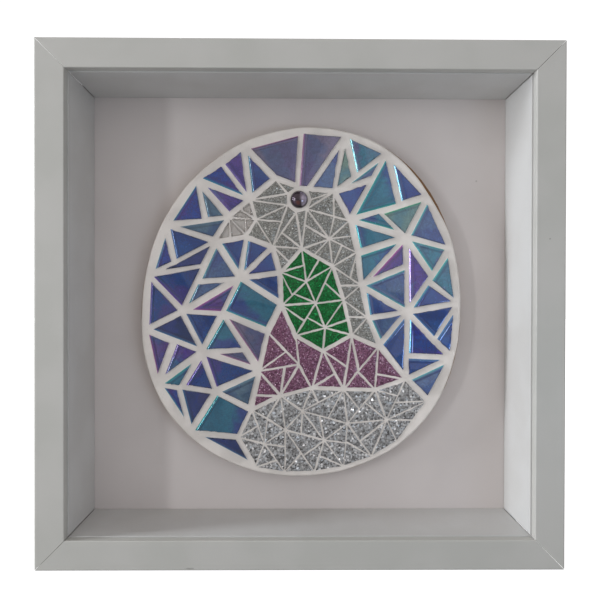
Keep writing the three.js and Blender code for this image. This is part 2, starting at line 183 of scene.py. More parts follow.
def bump(tree, height, strength, depth):
    node = addNode(tree, "ShaderNodeBump")
    return feedNode(tree, node, Height=height, Strength=strength, Distance=depth)["Normal"]


def objectPlace(tree):
    return addNode(tree, "ShaderNodeTexCoord").outputs["Object"]


def attribute(tree, name):
    return addNode(tree, "ShaderNodeAttribute", attribute_name=name).outputs["Fac"]


def newGroup(name, inputs, outputs):  # a number, three of them or a colour says what each socket is
    group = bpy.data.node_groups.new(name, "ShaderNodeTree")
    for way, sockets in (("INPUT", inputs), ("OUTPUT", outputs)):
        for socketName, value in sockets.items():
            parts = 1 if isinstance(value, float) else len(value)
            kind = {1: "NodeSocketFloat", 3: "NodeSocketVector", 4: "NodeSocketColor"}[parts]
            socket = group.interface.new_socket(name=socketName, in_out=way, socket_type=kind)
            if way == "INPUT":
                socket.default_value = value
    return group, addNode(group, "NodeGroupInput").outputs, addNode(group, "NodeGroupOutput").inputs


def useGroup(tree, group, **values):
    return feedNode(tree, addNode(tree, "ShaderNodeGroup", node_tree=group), **values)


def newMaterial(name, **values):  # plain values go straight on the shader
    material = bpy.data.materials.new(name)
    material.use_nodes = True
    shader = material.node_tree.nodes["Principled BSDF"]
    for key, value in values.items():
        shader.inputs[key.replace("_", " ")].default_value = value
    return material, material.node_tree, shader.inputs


def feedSurface(tree, shader, surface):  # colour, gloss and normal all come from one group
    feed(tree, shader["Base Color"], surface["Color"])
    feed(tree, shader["Roughness"], surface["Roughness"])
    feed(tree, shader["Normal"], surface["Normal"])


def toothOf(tree, look):
    return useGroup(tree, grain, Size=look["toothSize"] * mm, Depth=look["toothDepth"] * mm,
                    Patch=look["patch"] * mm)


# Effects that several finishes share

def makeGrain():  # fine even tooth of paint, paper and plaster
    group, inputs, outputs = newGroup(
        "fineGrain",
        {"Size": 0.001, "Depth": 0.00003, "Patch": 0.02},
        {"Normal": (0, 0, 0), "Grain": 0.0, "Patches": 0.0},
    )
    where = objectPlace(group)
    tooth = noise(group, where, maths(group, "DIVIDE", 1.0, inputs["Size"]), 3.0)
    patches = noise(group, where, maths(group, "DIVIDE", 1.0, inputs["Patch"]), 2.0)
    feed(group, outputs["Normal"], bump(group, tooth, 1.0, inputs["Depth"]))
    feed(group, outputs["Grain"], tooth)
    feed(group, outputs["Patches"], patches)
    return group


markLook = {
    "raggedScale": 1800.0,
    "least": 0.4,  # share of its size that a mark always keeps
    "fade": (0.7, 1.2),
}


def makeMark():  # one small mark, which Stretch makes shorter along an axis
    group, inputs, outputs = newGroup(
        "smallMark",
        {"Place": (0, 0, 0), "Size": 0.001, "Stretch": (1, 1, 1)},
        {"Mark": 0.0},
    )
    away = vectorMaths(group, "SUBTRACT", objectPlace(group), inputs["Place"])
    away = vectorMaths(group, "MULTIPLY", away, inputs["Stretch"])
    ragged = noise(group, objectPlace(group), markLook["raggedScale"])
    reach = maths(group, "ADD", ragged, markLook["least"])
    reach = maths(group, "MULTIPLY", inputs["Size"], reach)
    ratio = maths(group, "DIVIDE", vectorMaths(group, "LENGTH", away), reach)
    feed(group, outputs["Mark"], remap(group, ratio, *markLook["fade"], 1.0, 0.0))
    return group


flakeLook = {
    "darkFade": (0.0, 0.75),
    "roughness": (0.22, 0.5),
}


def makeFlakes():  # glitter: each cell is one flake with its own tone and tilt, and a share of flakes painted bright as painted sparkle
    group, inputs, outputs = newGroup(
        "glitterFlakes",
        {"Flake": 0.0004, "Tilt": 0.5, "Dark": black, "Middle": black, "Bright": white,
         "Sparkle": 0.1},
        {"Color": white, "Normal": (0, 0, 0), "Roughness": 0.0},
    )
    cells = addNode(group, "ShaderNodeTexVoronoi")
    scale = maths(group, "DIVIDE", 1.0, inputs["Flake"])
    own = feedNode(group, cells, Vector=objectPlace(group), Scale=scale)["Color"]
    parts = split(group, own, "Color")
    shade = remap(group, parts[0], *flakeLook["darkFade"])
    shade = blendColours(group, shade, inputs["Dark"], inputs["Middle"])
    # painted sparkle: a share of flakes takes the bright colour, a painted glint
    lit = remap(group, parts[1], maths(group, "SUBTRACT", 1.0, inputs["Sparkle"]), 1.0)
    feed(group, outputs["Color"], blendColours(group, lit, shade, inputs["Bright"]))
    lean = vectorMaths(group, "SUBTRACT", own, (0.5, 0.5, 0.5))
    lean = vectorMaths(group, "SCALE", lean, inputs["Tilt"])
    normal = addNode(group, "ShaderNodeNewGeometry").outputs["Normal"]
    normal = vectorMaths(group, "NORMALIZE", vectorMaths(group, "ADD", normal, lean))
    feed(group, outputs["Normal"], normal)
    gloss = remap(group, parts[2], 0.0, 1.0, *flakeLook["roughness"], "LINEAR")
    feed(group, outputs["Roughness"], gloss)
    return group


skinLook = {
    "cloud": (2.2, 3.0, 0.8),  # scale, detail and distortion, as in the next two
    "vein": (3.0, 4.0, 2.5),
    "swell": (220.0, 2.0, 0.6),
    "swellStrength": 0.8,
    "secondFrom": (0.1, 0.5),
    "thirdFrom": (0.5, 0.9),
    "veinWidth": 0.09,
    "dark": (0.02, 0.02, 0.05, 1),
    "darkShare": 0.55,
    "mottleScale": 1500.0,
    "mottleShare": 0.4,
    "mottleShade": 0.5,
    "nippedShare": 0.8,
    "rimSheenPower": 2.2,
    "rimSheenShare": 0.9,
    "roughness": (0.1, 0.28),
}


def makeSkin():  # the shifting colours of lustre glass, along the piece's own map, with painted sheen on moulded rims and painted shade in grooves and along nipped sides
    group, inputs, outputs = newGroup(
        "lustreSkin",
        {"First": black, "Second": black, "Third": black, "Rim": white, "Swirl": 0.5,
         "Streak": 0.3, "Wave": 0.0002},
        {"Color": white, "Normal": (0, 0, 0), "Roughness": 0.0},
    )
    own = addNode(group, "ShaderNodeUVMap", uv_map="skin").outputs[0]
    cloud = noise(group, own, *skinLook["cloud"])
    drift = maths(group, "MULTIPLY", maths(group, "SUBTRACT", cloud, 0.5), inputs["Swirl"])
    drift = maths(group, "ADD", split(group, own)[0], drift)
    second = remap(group, drift, *skinLook["secondFrom"])
    third = remap(group, drift, *skinLook["thirdFrom"])
    colour = blendColours(group, second, inputs["First"], inputs["Second"])
    colour = blendColours(group, third, colour, inputs["Third"])

    veins = noise(group, own, *skinLook["vein"])
    veins = maths(group, "ABSOLUTE", maths(group, "SUBTRACT", veins, 0.5))
    veins = remap(group, veins, 0.0, skinLook["veinWidth"], 1.0, 0.0)
    darker = blendColours(group, skinLook["darkShare"], colour, skinLook["dark"])
    colour = blendColours(group, maths(group, "MULTIPLY", veins, inputs["Streak"]), colour, darker)
    mottle = noise(group, objectPlace(group), skinLook["mottleScale"])
    mottle = remap(group, mottle, *mostNoise, 0.0, skinLook["mottleShare"])
    shaded = vectorMaths(group, "SCALE", colour, skinLook["mottleShade"])
    colour = blendColours(group, mottle, colour, shaded)

    # painted shade along the groove, darker than its shallow dip casts
    colour = blendColours(group, attribute(group, "groove"), colour, darker)
    # along nipped sides the glass's deeper colour, with painted shade of the gap at the grout
    nipped = maths(group, "MULTIPLY", attribute(group, "nipped"), skinLook["nippedShare"])
    colour = blendColours(group, nipped, colour, darker)
    # painted sheen: the moulded edge's highlight painted as a bright rim colour, over the glass's
    # own lighter border
    rim = maths(group, "POWER", attribute(group, "rim"), skinLook["rimSheenPower"])
    rim = maths(group, "MULTIPLY", rim, skinLook["rimSheenShare"])
    feed(group, outputs["Color"], blendColours(group, rim, colour, inputs["Rim"]))
    swell = noise(group, objectPlace(group), *skinLook["swell"])
    feed(group, outputs["Normal"], bump(group, swell, skinLook["swellStrength"], inputs["Wave"]))
    feed(group, outputs["Roughness"], remap(group, cloud, *mostNoise, *skinLook["roughness"]))
    return group


grain = makeGrain()
mark = makeMark()
flakes = makeFlakes()
skin = makeSkin()


# Frame, spacer and the boards behind

foil = {
    "white": paint(192, 191, 187),
    "shade": paint(184, 184, 179),
    "spacerWhite": paint(205, 205, 204),
    "spacerShade": paint(197, 196, 194),
    "toothSize": 0.9,
    "toothDepth": 0.02,
    "patch": 30,
    "patchShare": 0.7,
    "roughness": (0.36, 0.5),
    "raw": paint(150, 116, 82),
    "rawDark": paint(112, 82, 56),
    "backLine": 22.3,  # the back of the rails is bare board
    "rebate": (-18, 117.2),  # and so is all that lies behind the lip and inside the wall
    "dirt": paint(70, 62, 56),
    "marks": [  # place, size, stretch, strength
        ((-125, -22.0, 250), 1.3, (1, 1, 1), 0.85),
        ((117.2, -22.5, 156.5), 0.5, (1, 1, 1), 0.35),
        ((-52, -22.5, 1.2), 2.6, (1, 1, 7), 0.35),
        ((-106.0, -18.6, 20.6), 0.8, (1, 1, 1), 0.6),
    ],
}


def bareBoard(tree):  # 1 where the foil leaves the board bare
    lip, wall = foil["rebate"]
    x, y, z = split(tree, objectPlace(tree))
    upward = maths(tree, "ABSOLUTE", maths(tree, "SUBTRACT", z, panelMiddle.z))
    outward = maths(tree, "MAXIMUM", maths(tree, "ABSOLUTE", x), upward)
    inRebate = maths(tree, "MULTIPLY", maths(tree, "GREATER_THAN", y, lip * mm),
                     maths(tree, "LESS_THAN", outward, wall * mm))
    return maths(tree, "MAXIMUM", maths(tree, "GREATER_THAN", y, foil["backLine"] * mm), inRebate)


def makeFoil(name, light, shade, wrapped):  # wrapped foil leaves no board bare
    material, tree, shader = newMaterial(name, Specular_IOR_Level=0.4)
    tooth = toothOf(tree, foil)
    patches = remap(tree, tooth["Patches"], *midNoise, 0.0, foil["patchShare"])
    colour = blendColours(tree, patches, light, shade)
    for where, size, stretch, strength in foil["marks"]:
        where = [c * mm for c in where]
        spot = useGroup(tree, mark, Place=where, Size=size * mm, Stretch=stretch)
        spot = maths(tree, "MULTIPLY", spot["Mark"], strength)
        colour = blendColours(tree, spot, colour, foil["dirt"])
    if not wrapped:
        raw = remap(tree, tooth["Grain"], *mostNoise)
        raw = blendColours(tree, raw, foil["rawDark"], foil["raw"])
        colour = blendColours(tree, bareBoard(tree), colour, raw)
    feed(tree, shader["Base Color"], colour)
    feed(tree, shader["Roughness"], remap(tree, tooth["Grain"], *wideNoise, *foil["roughness"]))
    feed(tree, shader["Normal"], tooth["Normal"])
    return material


card = {
    "white": paint(217, 210, 208),
    "shade": paint(211, 204, 202),
    "toothSize": 0.35,
    "toothDepth": 0.03,
    "patch": 45,
    "speckPlace": (94.7, 15.5, 191.3),
    "speckSize": 0.6,
    "speckStrength": 0.3,
    "speck": paint(120, 112, 104),
}


def makeCard():
    material, tree, shader = newMaterial("backingCard", Roughness=0.8, Specular_IOR_Level=0.25)
    tooth = toothOf(tree, card)
    patches = remap(tree, tooth["Patches"], *mostNoise)
    colour = blendColours(tree, patches, card["white"], card["shade"])
    where = [c * mm for c in card["speckPlace"]]
    speck = useGroup(tree, mark, Place=where, Size=card["speckSize"] * mm)
    speck = maths(tree, "MULTIPLY", speck["Mark"], card["speckStrength"])
    feed(tree, shader["Base Color"], blendColours(tree, speck, colour, card["speck"]))
    feed(tree, shader["Normal"], tooth["Normal"])
    return material


hardboard = {
    "light": paint(128, 92, 60),
    "dark": paint(96, 66, 42),
    "fibre": 1.6,
    "screen": 2.2,  # spacing of the wires that are pressed into its rough face
}
ovalBoard = {
    "light": paint(164, 128, 92),
    "dark": paint(122, 90, 62),
    "fibre": 0.9,
    "screen": None,
}
fibreLook = {
    "size": 0.5,  # in lengths of a fibre, as the next one
    "cloudSize": 14,
    "cloudShare": 0.35,
    "detail": 4.0,
    "distortion": 1.5,
    "rough": 0.65,
    "bandWidth": 3.14,  # of the wave texture, for one band to each wire
    "strength": 0.6,
    "depth": 0.12,
}


def makeFibreboard(name, look):
    material, tree, shader = newMaterial(name, Roughness=0.75, Specular_IOR_Level=0.3)
    where = objectPlace(tree)
    fibre = look["fibre"] * mm
    fibres = noise(tree, where, 1 / (fibreLook["size"] * fibre), fibreLook["detail"],
                   fibreLook["distortion"], fibreLook["rough"])
    clouds = noise(tree, where, 1 / (fibreLook["cloudSize"] * fibre))
    clouds = remap(tree, clouds, *mostNoise, 0.0, fibreLook["cloudShare"])
    colour = blendColours(tree, remap(tree, fibres, *mostNoise), look["dark"], look["light"])
    feed(tree, shader["Base Color"], blendColours(tree, clouds, colour, look["dark"]))
    height = fibres
    if look["screen"]:
        waves = []
        for direction in ("X", "Z"):
            wave = addNode(tree, "ShaderNodeTexWave", bands_direction=direction)
            scale = 1 / (look["screen"] * mm * fibreLook["bandWidth"])
            waves.append(feedNode(tree, wave, Vector=where, Scale=scale)["Fac"])
        height = maths(tree, "ADD", maths(tree, "MULTIPLY", *waves), fibres)
    normal = bump(tree, height, fibreLook["strength"], fibreLook["depth"] * mm)
    feed(tree, shader["Normal"], normal)
    return material


steel = {
    "colour": (paint(160, 163, 166), paint(200, 202, 204)),
    "roughness": (0.28, 0.42),
    "spangleScale": 420.0,
    "toothScale": 900.0,
    "toothStrength": 0.4,
    "toothDepth": 0.03,
}


def makeSteel():
    material, tree, shader = newMaterial("zincSteel", Metallic=1.0)
    where = objectPlace(tree)
    cells = addNode(tree, "ShaderNodeTexVoronoi")
    spangle = feedNode(tree, cells, Vector=where, Scale=steel["spangleScale"])
    parts = split(tree, spangle["Color"], "Color")
    feed(tree, shader["Base Color"], blendColours(tree, parts[0], *steel["colour"]))
    feed(tree, shader["Roughness"], remap(tree, parts[1], 0.0, 1.0, *steel["roughness"]))
    tooth = noise(tree, where, steel["toothScale"], 3.0)
    normal = bump(tree, tooth, steel["toothStrength"], steel["toothDepth"] * mm)
    feed(tree, shader["Normal"], normal)
    return material


zincSteel = makeSteel()
nodeFinishes = {  # by the start of the node's name
    "frame_rail": makeFoil("whiteFoil", foil["white"], foil["shade"], False),
    "spacer": makeFoil("whiteSpacerFoil", foil["spacerWhite"], foil["spacerShade"], True),
    "backing_board": makeCard(),
    "back_panel": makeFibreboard("roughHardboard", hardboard),
    "oval_board": makeFibreboard("ovalFibreboard", ovalBoard),
    "panel_tab": zincSteel,
    "sawtooth_hanger": zincSteel,
}
for nodeName, part in cad.items():
    for start, material in nodeFinishes.items():
        if nodeName.startswith(start):
            part.material_slots[0].material = material
print("frame and boards finished")


# Tiles

glassTile = {
    "thickness": 3.15,
    "roundRadius": 1.35,  # the moulded edge
    "roundSteps": 6,
    "rimWidth": 1.7,  # its painted sheen, over the glass's own lighter border
    "groove": 2.1,  # its distance from a moulded side
    "grooveWidth": 0.55,
    "grooveDepth": 0.16,
    "grooveEnd": 2.0,  # it stops this far from another moulded side
    "nippedBand": 0.75,  # the darker line along a nipped side: the glass's deeper colour with painted shade of the gap at the grout
    "ragged": 0.5,
    "raggedStep": 2.1,
    "arris": 0.14,
    "gradient": 16.0,
    "leftShare": 1.3,  # the lower, the likelier a moulded side is to be on the left
}
glitterTile = {
    "thickness": 2.85,
    "grown": 0.18,  # past the sides of its solid
    "tip": 0.22,  # corners nipped blunt
    "ragged": 0.24,
    "raggedStep": 1.8,
    "arris": 0.06,
    "lean": 0.17,  # how far the lowest corner of a leaning tile lies behind its highest one
}
clearTile = {**glitterTile, "thickness": 1.35}
anyTile = {
    "seam": 0.01,  # points this close are welded
    "flatDepth": 0.05,  # a tile's flat front lies within this of the foremost point
    "faceDepth": 0.3,  # and its face, with the bevels, within this
    "margin": 0.02,  # a point this far outside a side still belongs to the tile
    "straightUnder": 3.0,  # a shorter side stays straight
    "cornerClear": 1.4,  # the ragged steps keep off the corners
    "smoothAngle": 38,
}


def outlinesOf(nodeName):  # the front faces of a tile node, as lists of corners in X and Z
    mesh = bmesh.new()
    mesh.from_mesh(cad[nodeName].data)
    bmesh.ops.remove_doubles(mesh, verts=mesh.verts, dist=anyTile["seam"] * mm)
    front = min(v.co.y for v in mesh.verts)
    limit = front + anyTile["flatDepth"] * mm
    hidden = [f for f in mesh.faces if f.normal.y > -0.9 or f.calc_center_median().y > limit]
    bmesh.ops.delete(mesh, geom=hidden, context="FACES")
    bmesh.ops.dissolve_limit(mesh, angle_limit=0.02, verts=mesh.verts, edges=mesh.edges)
    outlines = [[Vector((v.co.x, v.co.z)) for v in face.verts] for face in mesh.faces]
    mesh.free()
    return outlines, front


class Side:  # one straight side of a tile, with the direction that points into the tile
    def __init__(self, start, end, middle):
        along = (end - start).normalized()
        inward = Vector((-along.y, along.x))
        if inward.dot(middle - start) < 0:
            inward = -inward
        self.start, self.end, self.inward, self.moulded = start, end, inward, False
        self.length = (end - start).length

    def depth(self, x, z):
        return (x - self.start.x) * self.inward.x + (z - self.start.y) * self.inward.y


def middleOf(outline):
    return sum(outline, Vector((0, 0))) / len(outline)


def sidesOf(outline, mouldedSides=0):
    middle = middleOf(outline)
    sides = [Side(a, b, middle) for a, b in zip(outline, outline[1:] + outline[:1])]

    def worth(side):  # a long side, and one at the left, is the likeliest to be moulded
        return side.length * (glassTile["leftShare"] + side.inward.x)

    for side in sorted(sides, key=worth, reverse=True)[:mouldedSides]:
        side.moulded = True
    return sides


def outsideOf(outline, x, z):  # distance outside a tile, negative inside it
    return np.max([-side.depth(x, z) for side in sidesOf(outline)], axis=0)


def grown(outline, by):  # a set tile fills its pocket up to the grout
    sides = sidesOf(outline)
    corners = []
    for before, after in zip(sides[-1:] + sides[:-1], sides):
        out = (before.inward + after.inward) / (1 + before.inward.dot(after.inward))
        corners.append(after.start - out * by * mm)
    return corners


def flat(vertex):
    return vertex.co.x, vertex.co.z


def sheetOf(name, outlines, front):  # flat faces at the tiles' front, one for each outline
    mesh = bpy.data.meshes.new(name)
    corners, faces = [], []
    for outline in outlines:
        faces.append(list(range(len(corners), len(corners) + len(outline))))
        corners += [(c.x, front, c.y) for c in outline]
    mesh.from_pydata(corners, [], faces)
    piece = bpy.data.objects.new(name, mesh)
    scene.collection.objects.link(piece)
    return piece


def thicken(piece, thickness):
    only(piece)
    wall = piece.modifiers.new("thickness", "SOLIDIFY")
    wall.thickness, wall.offset = thickness * mm, -1
    bpy.ops.object.modifier_apply(modifier=wall.name)


def onSide(vertex, side, front):
    return abs(side.depth(*flat(vertex))) < tiny and abs(vertex.co.y - front) < tiny


def nipSides(piece, tiles, look, front, chance):  # nipped sides go a little ragged, always inwards
    for side in [side for sides in tiles for side in sides if not side.moulded]:
        middle = (side.start + side.end) / 2
        cuts = int(side.length / (look["raggedStep"] * mm)) - 1

        def near(vertex, margin):
            away = (Vector(flat(vertex)) - middle).length
            return onSide(vertex, side, front) and away < side.length / 2 - margin

        def longEdge(edge):
            return (edge.calc_length() > anyTile["straightUnder"] * mm
                    and all(near(v, -anyTile["seam"] * mm) for v in edge.verts))

        pick(piece, "EDGE", longEdge)
        if cuts > 0 and piece.data.total_edge_sel:
            bpy.ops.mesh.subdivide(number_cuts=cuts)
            mesh = bmesh.from_edit_mesh(piece.data)
            for vertex in mesh.verts:
                if near(vertex, anyTile["cornerClear"] * mm):
                    step = chance.random() ** 2 * look["ragged"] * mm
                    vertex.co.x += side.inward.x * step
                    vertex.co.z += side.inward.y * step
            bmesh.update_edit_mesh(piece.data)


def softenArris(piece, look, front):  # the sharp edge between a tile's face and its nipped sides
    def sharp(edge):
        if len(edge.link_faces) != 2 or any(abs(v.co.y - front) > tiny for v in edge.verts):
            return False
        flank, face = sorted(abs(f.normal.y) for f in edge.link_faces)
        return flank < 0.4 and face > 0.9

    pick(piece, "EDGE", sharp)
    bpy.ops.mesh.bevel(offset=look["arris"] * mm, segments=2, affect="EDGES", clamp_overlap=True)


def mapSkin(piece, outline, chance):  # the lustre runs across each tile in its own direction
    middle = middleOf(outline)
    turn, offset = chance.uniform(0, 2 * math.pi), chance.uniform(0.25, 0.7)
    far = chance.uniform(0, 90)
    layer = piece.data.uv_layers.new(name="skin")
    for loop in piece.data.loops:
        x, z = flat(piece.data.vertices[loop.vertex_index])
        x = (x - middle.x) / (glassTile["gradient"] * mm)
        z = (z - middle.y) / (glassTile["gradient"] * mm)
        layer.data[loop.index].uv = (x * math.cos(turn) + z * math.sin(turn) + offset,
                                     z * math.cos(turn) - x * math.sin(turn) + far)


def markSides(piece, sides, front):  # notes rim, groove and nipped band, which carry painted sheen and painted shade, and sinks the groove
    look = glassTile
    places = placesOf(piece)
    depths = [side.depth(places[:, 0], places[:, 2]) for side in sides]
    rim, groove, nipped = np.zeros((3, len(places)))
    clear = np.all([depth > look["grooveEnd"] * mm
                    for side, depth in zip(sides, depths) if side.moulded], axis=0)
    for side, depth in zip(sides, depths):
        if side.moulded:
            rim = np.maximum(rim, np.clip(1 - depth / (look["rimWidth"] * mm), 0, 1))
            away = np.abs(depth - look["groove"] * mm) / (look["grooveWidth"] * mm)
            groove = np.maximum(groove, np.clip(1 - away, 0, 1) * clear)
        else:
            band = np.clip(1 - depth / (look["nippedBand"] * mm), 0, 1)
            nipped = np.maximum(nipped, band)
    onFace = places[:, 1] < front + anyTile["faceDepth"] * mm
    places[onFace, 1] += groove[onFace] * look["grooveDepth"] * mm
    setPlaces(piece, places)
    for name, amounts in (("rim", rim), ("groove", groove), ("nipped", nipped)):
        layer = piece.data.attributes.new(name, "FLOAT", "POINT")
        layer.data.foreach_set("value", amounts)


def makeGlassTile(name, outline, front, chance, mouldedSides):
    look = glassTile
    sides = sidesOf(outline, mouldedSides)
    moulded = [side for side in sides if side.moulded]

    def mouldedEdge(edge):
        return any(all(onSide(v, side, front) for v in edge.verts) for side in moulded)

    piece = sheetOf(name, [outline], front)
    thicken(piece, look["thickness"])
    openMesh(piece)
    if moulded:
        pick(piece, "EDGE", mouldedEdge)
        bpy.ops.mesh.bevel(offset=look["roundRadius"] * mm, segments=look["roundSteps"],
                           affect="EDGES", clamp_overlap=True)
    grooveCuts = [look["groove"] + step * look["grooveWidth"] for step in (-1, 0, 1)]
    for side in sides:
        for cut in grooveCuts if side.moulded else [look["nippedBand"]]:
            on = side.start + side.inward * cut * mm
            pick(piece, "FACE", lambda f: f.normal.y < -0.999)
            bpy.ops.mesh.bisect(plane_co=(on.x, front, on.y),
                                plane_no=(side.inward.x, 0, side.inward.y))
    nipSides(piece, [sides], look, front, chance)
    softenArris(piece, look, front)
    closeMesh()
    markSides(piece, sides, front)
    mapSkin(piece, outline, chance)
    smoothBy(piece, anyTile["smoothAngle"])
    return piece


def makeThinTiles(name, nodeName, look, chance):  # all the tiles of one area, as one piece
    outlines, front = outlinesOf(nodeName)
    outlines = [grown(outline, look["grown"]) for outline in outlines]
    tiles = [sidesOf(outline) for outline in outlines]
    piece = sheetOf(name, outlines, front)
    openMesh(piece, "VERT")
    bpy.ops.mesh.select_all(action="SELECT")
    bpy.ops.mesh.bevel(offset=look["tip"] * mm, segments=1, affect="VERTICES")
    nipSides(piece, tiles, look, front, chance)
    closeMesh()
    thicken(piece, look["thickness"])
    openMesh(piece)
    softenArris(piece, look, front)
    closeMesh()

    places = placesOf(piece)
    x, z = places[:, 0], places[:, 2]
    onFace = places[:, 1] < front + anyTile["faceDepth"] * mm
    for sides in tiles:  # each tile leans a little in its own direction
        depths = [side.depth(x, z) for side in sides]
        inside = onFace & np.all([depth > -anyTile["margin"] * mm for depth in depths], axis=0)
        tilt = x[inside] * chance.uniform(-1, 1) + z[inside] * chance.uniform(-1, 1)
        places[inside, 1] += (tilt - tilt.min()) / np.ptp(tilt) * look["lean"] * mm
    setPlaces(piece, places)
    smoothBy(piece, anyTile["smoothAngle"])
    return piece


# Finishes of the tiles

glassFinishes = {  # two batches each: three colours that run into each other, then the rim's painted sheen
    "glass_blue": [
        (paint(50, 84, 148), paint(64, 104, 160), paint(74, 92, 158), paint(110, 225, 250)),
        (paint(62, 90, 150), paint(44, 74, 140), paint(50, 96, 160), paint(120, 190, 250)),
    ],
    "glass_teal": [
        (paint(60, 128, 150), paint(70, 140, 160), paint(84, 90, 160), paint(80, 245, 235)),
        (paint(142, 164, 156), paint(112, 150, 160), paint(150, 166, 146), paint(120, 250, 190)),
    ],
    "glass_violet": [
        (paint(84, 74, 160), paint(120, 76, 160), paint(52, 100, 160), paint(245, 130, 225)),
        (paint(66, 70, 156), paint(110, 84, 166), paint(70, 130, 170), paint(180, 150, 250)),
    ],
    "glass_cobalt": [
        (paint(30, 62, 158), paint(24, 88, 166), paint(84, 72, 160), paint(60, 210, 250)),
        (paint(50, 60, 150), paint(34, 66, 160), paint(96, 70, 156), paint(70, 230, 250)),
    ],
    "glass_grey_blue": [
        (paint(100, 116, 146), paint(122, 138, 156), paint(88, 104, 146), paint(150, 205, 225)),
        (paint(118, 128, 142), paint(132, 138, 148), paint(98, 118, 148), paint(130, 220, 220)),
    ],
    "glass_mauve": [
        (paint(120, 106, 146), paint(112, 116, 150), paint(150, 128, 150), paint(240, 160, 220)),
        (paint(134, 112, 132), paint(120, 116, 136), paint(126, 104, 140), paint(140, 240, 190)),
    ],
    "glass_light_blue": [
        (paint(90, 120, 164), paint(104, 134, 168), paint(84, 112, 164), paint(120, 240, 245)),
        (paint(104, 140, 164), paint(84, 150, 166), paint(130, 120, 160), paint(110, 245, 240)),
    ],
    "glass_indigo": [
        (paint(58, 62, 138), paint(48, 80, 154), paint(96, 68, 150), paint(170, 120, 250)),
        (paint(44, 52, 112), paint(64, 66, 140), paint(70, 60, 124), paint(90, 190, 250)),
    ],
}
lustre = {
    "tone": (0.56, 0.73, 0.91),  # share of red, green and blue that the body of the glass keeps
    "swirl": (0.7, 0.06),  # for the first finish, and what each next one adds, as the next two
    "streak": (0.35, 0.05),
    "film": (300.0, 35.0),
    "streakSteps": 7,
    "wave": 0.12,
}


def makeLustre(slotName, batch, number):
    *body, rim = glassFinishes[slotName][batch]
    first, second, third = (
        (*(c * share for c, share in zip(colour, lustre["tone"])), 1) for colour in body)
    film, filmStep = lustre["film"]
    swirl, swirlStep = lustre["swirl"]
    streak, streakStep = lustre["streak"]
    material, tree, shader = newMaterial(
        f"lustre_{slotName}_{batch + 1}", Metallic=0.52, IOR=1.6, Coat_Weight=1.0, Coat_IOR=1.7,
        Coat_Roughness=0.04, Thin_Film_Thickness=film + filmStep * number, Thin_Film_IOR=1.35,
    )
    own = useGroup(
        tree, skin, First=first, Second=second, Third=third, Rim=rim, Wave=lustre["wave"] * mm,
        Swirl=swirl + swirlStep * number,
        Streak=streak + streakStep * (number % lustre["streakSteps"]),
    )
    feedSurface(tree, shader, own)
    return material


glassZones = {
    "middle": 126,
    "firstWidth": 40,  # degrees
    "zones": [  # degrees round the panel from the right, and the commonest finishes up to there
        (-55, "cobalt", "blue", "grey_blue"),
        (-15, "cobalt", "blue", "grey_blue", "light_blue"),
        (25, "violet", "grey_blue", "blue", "light_blue", "cobalt"),
        (65, "light_blue", "blue", "blue", "grey_blue", "teal"),
        (115, "teal", "blue", "mauve", "light_blue", "blue"),
        (155, "blue", "cobalt", "grey_blue", "violet", "blue"),
        (205, "teal", "violet", "cobalt", "indigo", "blue", "light_blue"),
        (305, "indigo", "mauve", "grey_blue", "cobalt", "teal", "indigo"),
    ],
    "batches": (0, 0, 1),
}


def pickFinish(outline, chance):  # from the zone that the tile lies in
    middle = middleOf(outline)
    zones = glassZones["zones"]
    turn = math.degrees(math.atan2(middle.y - glassZones["middle"] * mm, middle.x))
    if turn < zones[0][0] - glassZones["firstWidth"]:
        turn += 360
    zone = next(zone for zone in zones if turn <= zone[0])
    return "glass_" + chance.choice(zone[1:]), chance.choice(glassZones["batches"])


glitters = {  # paintedSparkle is the share of flakes painted bright, a painted glint
    "neck_tiles": {
        "piece": "neckTiles", "slot": "green_glitter",
        "flake": 0.42, "tilt": 0.7, "paintedSparkle": 0.05,
        "dark": paint(0, 58, 22), "middle": paint(0, 120, 52), "bright": paint(40, 190, 104),
    },
    "breast_tiles": {
        "piece": "breastTiles", "slot": "mauve_glitter",
        "flake": 0.45, "tilt": 0.7, "paintedSparkle": 0.12,
        "dark": paint(84, 48, 70), "middle": paint(142, 94, 122), "bright": paint(214, 178, 202),
    },
    "head_tiles": {
        "piece": "headTiles", "slot": "silver_glitter",
        "flake": 0.42, "tilt": 0.6, "paintedSparkle": 0.1,
        "dark": paint(103, 102, 98), "middle": paint(155, 155, 151), "bright": paint(222, 221, 217),
    },
    "body_tiles": {
        "piece": "bodyTiles", "slot": "coarse_silver_glitter",
        "flake": 0.85, "tilt": 1.0, "paintedSparkle": 0.2,
        "dark": paint(98, 97, 98), "middle": paint(183, 183, 184), "bright": paint(250, 249, 250),
    },
}


def makeGlitter(look):
    material, tree, shader = newMaterial(
        "flakes_" + look["slot"], Metallic=0.6, IOR=1.45, Coat_Weight=0.35, Coat_Roughness=0.12)
    own = useGroup(tree, flakes, Flake=look["flake"] * mm, Tilt=look["tilt"], Dark=look["dark"],
                   Middle=look["middle"], Bright=look["bright"], Sparkle=look["paintedSparkle"])
    feedSurface(tree, shader, own)
    return material


clearGlass = {
    "swell": (350.0, 2.0, 0.4),  # scale, detail and distortion
    "strength": 0.6,
    "depth": 0.1,
}


def makeClearGlass():
    material, tree, shader = newMaterial(
        "clearGlass", Base_Color=white, Roughness=0.06, IOR=1.45, Transmission_Weight=1.0)
    swell = noise(tree, objectPlace(tree), *clearGlass["swell"])
    normal = bump(tree, swell, clearGlass["strength"], clearGlass["depth"] * mm)
    feed(tree, shader["Normal"], normal)
    return material


# The tiles themselves

chance = random.Random(11)
lustres = {
    (slotName, batch): makeLustre(slotName, batch, 2 * i + batch)
    for i, slotName in enumerate(glassFinishes) for batch in (0, 1)
}
allOutlines = []

